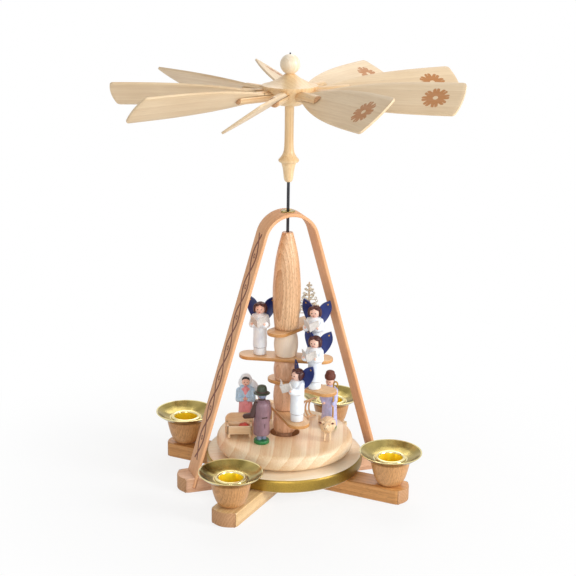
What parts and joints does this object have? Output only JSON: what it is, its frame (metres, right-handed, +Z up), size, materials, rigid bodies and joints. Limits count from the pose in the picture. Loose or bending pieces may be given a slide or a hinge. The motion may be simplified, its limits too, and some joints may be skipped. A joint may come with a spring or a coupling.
{
  "type": "candle carousel",
  "caption": "Wooden candle carousel: warm air turns a bladed wheel, and with it a stepped column and a round plate of small figures.",
  "frame": {"origin": "on the spindle's axis, at the underside of the crossed foot bars", "axes": "+Z up along the spindle; +X along the foot bar that carries the arch, towards the arch's leg on the right from the front; the front is at -Y"},
  "size_m": [0.2044, 0.2056, 0.2621],
  "materials": {
    "pale_maple": "satin",
    "lime_veneer": "satin",
    "steamed_beech": "satin",
    "oiled_beech": "satin",
    "gold_lacquered_beech": "lacquered satin",
    "spun_brass": "polished",
    "drawn_steel": "darkened",
    "white_painted_wood": "matt paint",
    "mauve_painted_wood": "matt paint",
    "rose_painted_wood": "matt paint",
    "lilac_painted_wood": "matt paint",
    "lime_shavings": "raw"
  },
  "bodies": {
    "base": {"candle_bar_lower": "oiled_beech", "candle_bar_middle": "oiled_beech", "arch_bar": "oiled_beech", "base_disc": "gold_lacquered_beech", "bearing_cup": "spun_brass", "arch": "steamed_beech", "arch_bush": "spun_brass", "candle_cup_1": "steamed_beech", "candle_cup_2": "steamed_beech", "candle_cup_3": "steamed_beech", "candle_cup_4": "steamed_beech", "drip_pan_1": "spun_brass", "drip_pan_2": "spun_brass", "drip_pan_3": "spun_brass", "drip_pan_4": "spun_brass"},
    "carousel": {"angel_1": "white_painted_wood", "angel_2": "white_painted_wood", "angel_3": "white_painted_wood", "angel_4": "white_painted_wood", "column_barrel_high": "steamed_beech", "column_barrel_low": "steamed_beech", "column_barrel_middle": "steamed_beech", "column_foot": "steamed_beech", "column_top": "pale_maple", "hay_rack": "steamed_beech", "hub_stem": "pale_maple", "lying_lamb": "pale_maple", "man_in_hat": "mauve_painted_wood", "manger": "pale_maple", "shavings_tree": "lime_shavings", "sheep": "pale_maple", "shepherd": "lilac_painted_wood", "spindle_rod": "drawn_steel", "standing_ox": "pale_maple", "step_1": "steamed_beech", "step_2": "steamed_beech", "step_3": "steamed_beech", "step_4": "steamed_beech", "top_ball": "pale_maple", "turning_plate": "pale_maple", "wheel_hub": "pale_maple", "woman_in_veil": "rose_painted_wood"},
    "blade_mount_1": {"blade_1": "lime_veneer", "blade_peg_1": "pale_maple"},
    "blade_mount_2": {"blade_2": "lime_veneer", "blade_peg_2": "pale_maple"},
    "blade_mount_3": {"blade_3": "lime_veneer", "blade_peg_3": "pale_maple"},
    "blade_mount_4": {"blade_4": "lime_veneer", "blade_peg_4": "pale_maple"},
    "blade_mount_5": {"blade_5": "lime_veneer", "blade_peg_5": "pale_maple"},
    "blade_mount_6": {"blade_6": "lime_veneer", "blade_peg_6": "pale_maple"},
    "blade_mount_7": {"blade_7": "lime_veneer", "blade_peg_7": "pale_maple"},
    "blade_mount_8": {"blade_8": "lime_veneer", "blade_peg_8": "pale_maple"},
    "blade_mount_9": {"blade_9": "lime_veneer", "blade_peg_9": "pale_maple"}
  },
  "joints": [
    {"name": "carousel_spin", "type": "hinge", "parent": "base", "child": "carousel", "pos_m": [0, 0, 0.0146], "axis": [0, 0, 1], "continuous": true},
    {"name": "blade_1_pitch", "type": "hinge", "parent": "carousel", "child": "blade_mount_1", "pos_m": [0, 0, 0.2383], "axis": [0.9975, -0.0523, 0.0471], "range_deg": [-25, 30]},
    {"name": "blade_2_pitch", "type": "hinge", "parent": "carousel", "child": "blade_mount_2", "pos_m": [0, 0, 0.2383], "axis": [0.7985, 0.6017, 0.0209], "range_deg": [-25, 30]},
    {"name": "blade_3_pitch", "type": "hinge", "parent": "carousel", "child": "blade_mount_3", "pos_m": [0, 0, 0.2383], "axis": [0.225, 0.9744, 0.0017], "range_deg": [-25, 30]},
    {"name": "blade_4_pitch", "type": "hinge", "parent": "carousel", "child": "blade_mount_4", "pos_m": [0, 0, 0.2383], "axis": [-0.454, 0.891, -0.0087], "range_deg": [-25, 30]},
    {"name": "blade_5_pitch", "type": "hinge", "parent": "carousel", "child": "blade_mount_5", "pos_m": [0, 0, 0.2383], "axis": [-0.9203, 0.3906, -0.0209], "range_deg": [-25, 30]},
    {"name": "blade_6_pitch", "type": "hinge", "parent": "carousel", "child": "blade_mount_6", "pos_m": [0, 0, 0.2383], "axis": [-0.9563, -0.2924, -0.0105], "range_deg": [-25, 30]},
    {"name": "blade_7_pitch", "type": "hinge", "parent": "carousel", "child": "blade_mount_7", "pos_m": [0, 0, 0.2383], "axis": [-0.5446, -0.8386, 0.0157], "range_deg": [-25, 30]},
    {"name": "blade_8_pitch", "type": "hinge", "parent": "carousel", "child": "blade_mount_8", "pos_m": [0, 0, 0.2383], "axis": [0.1218, -0.9921, 0.0314], "range_deg": [-25, 30]},
    {"name": "blade_9_pitch", "type": "hinge", "parent": "carousel", "child": "blade_mount_9", "pos_m": [0, 0, 0.2383], "axis": [0.7306, -0.6813, 0.0454], "range_deg": [-25, 30]}
  ]
}
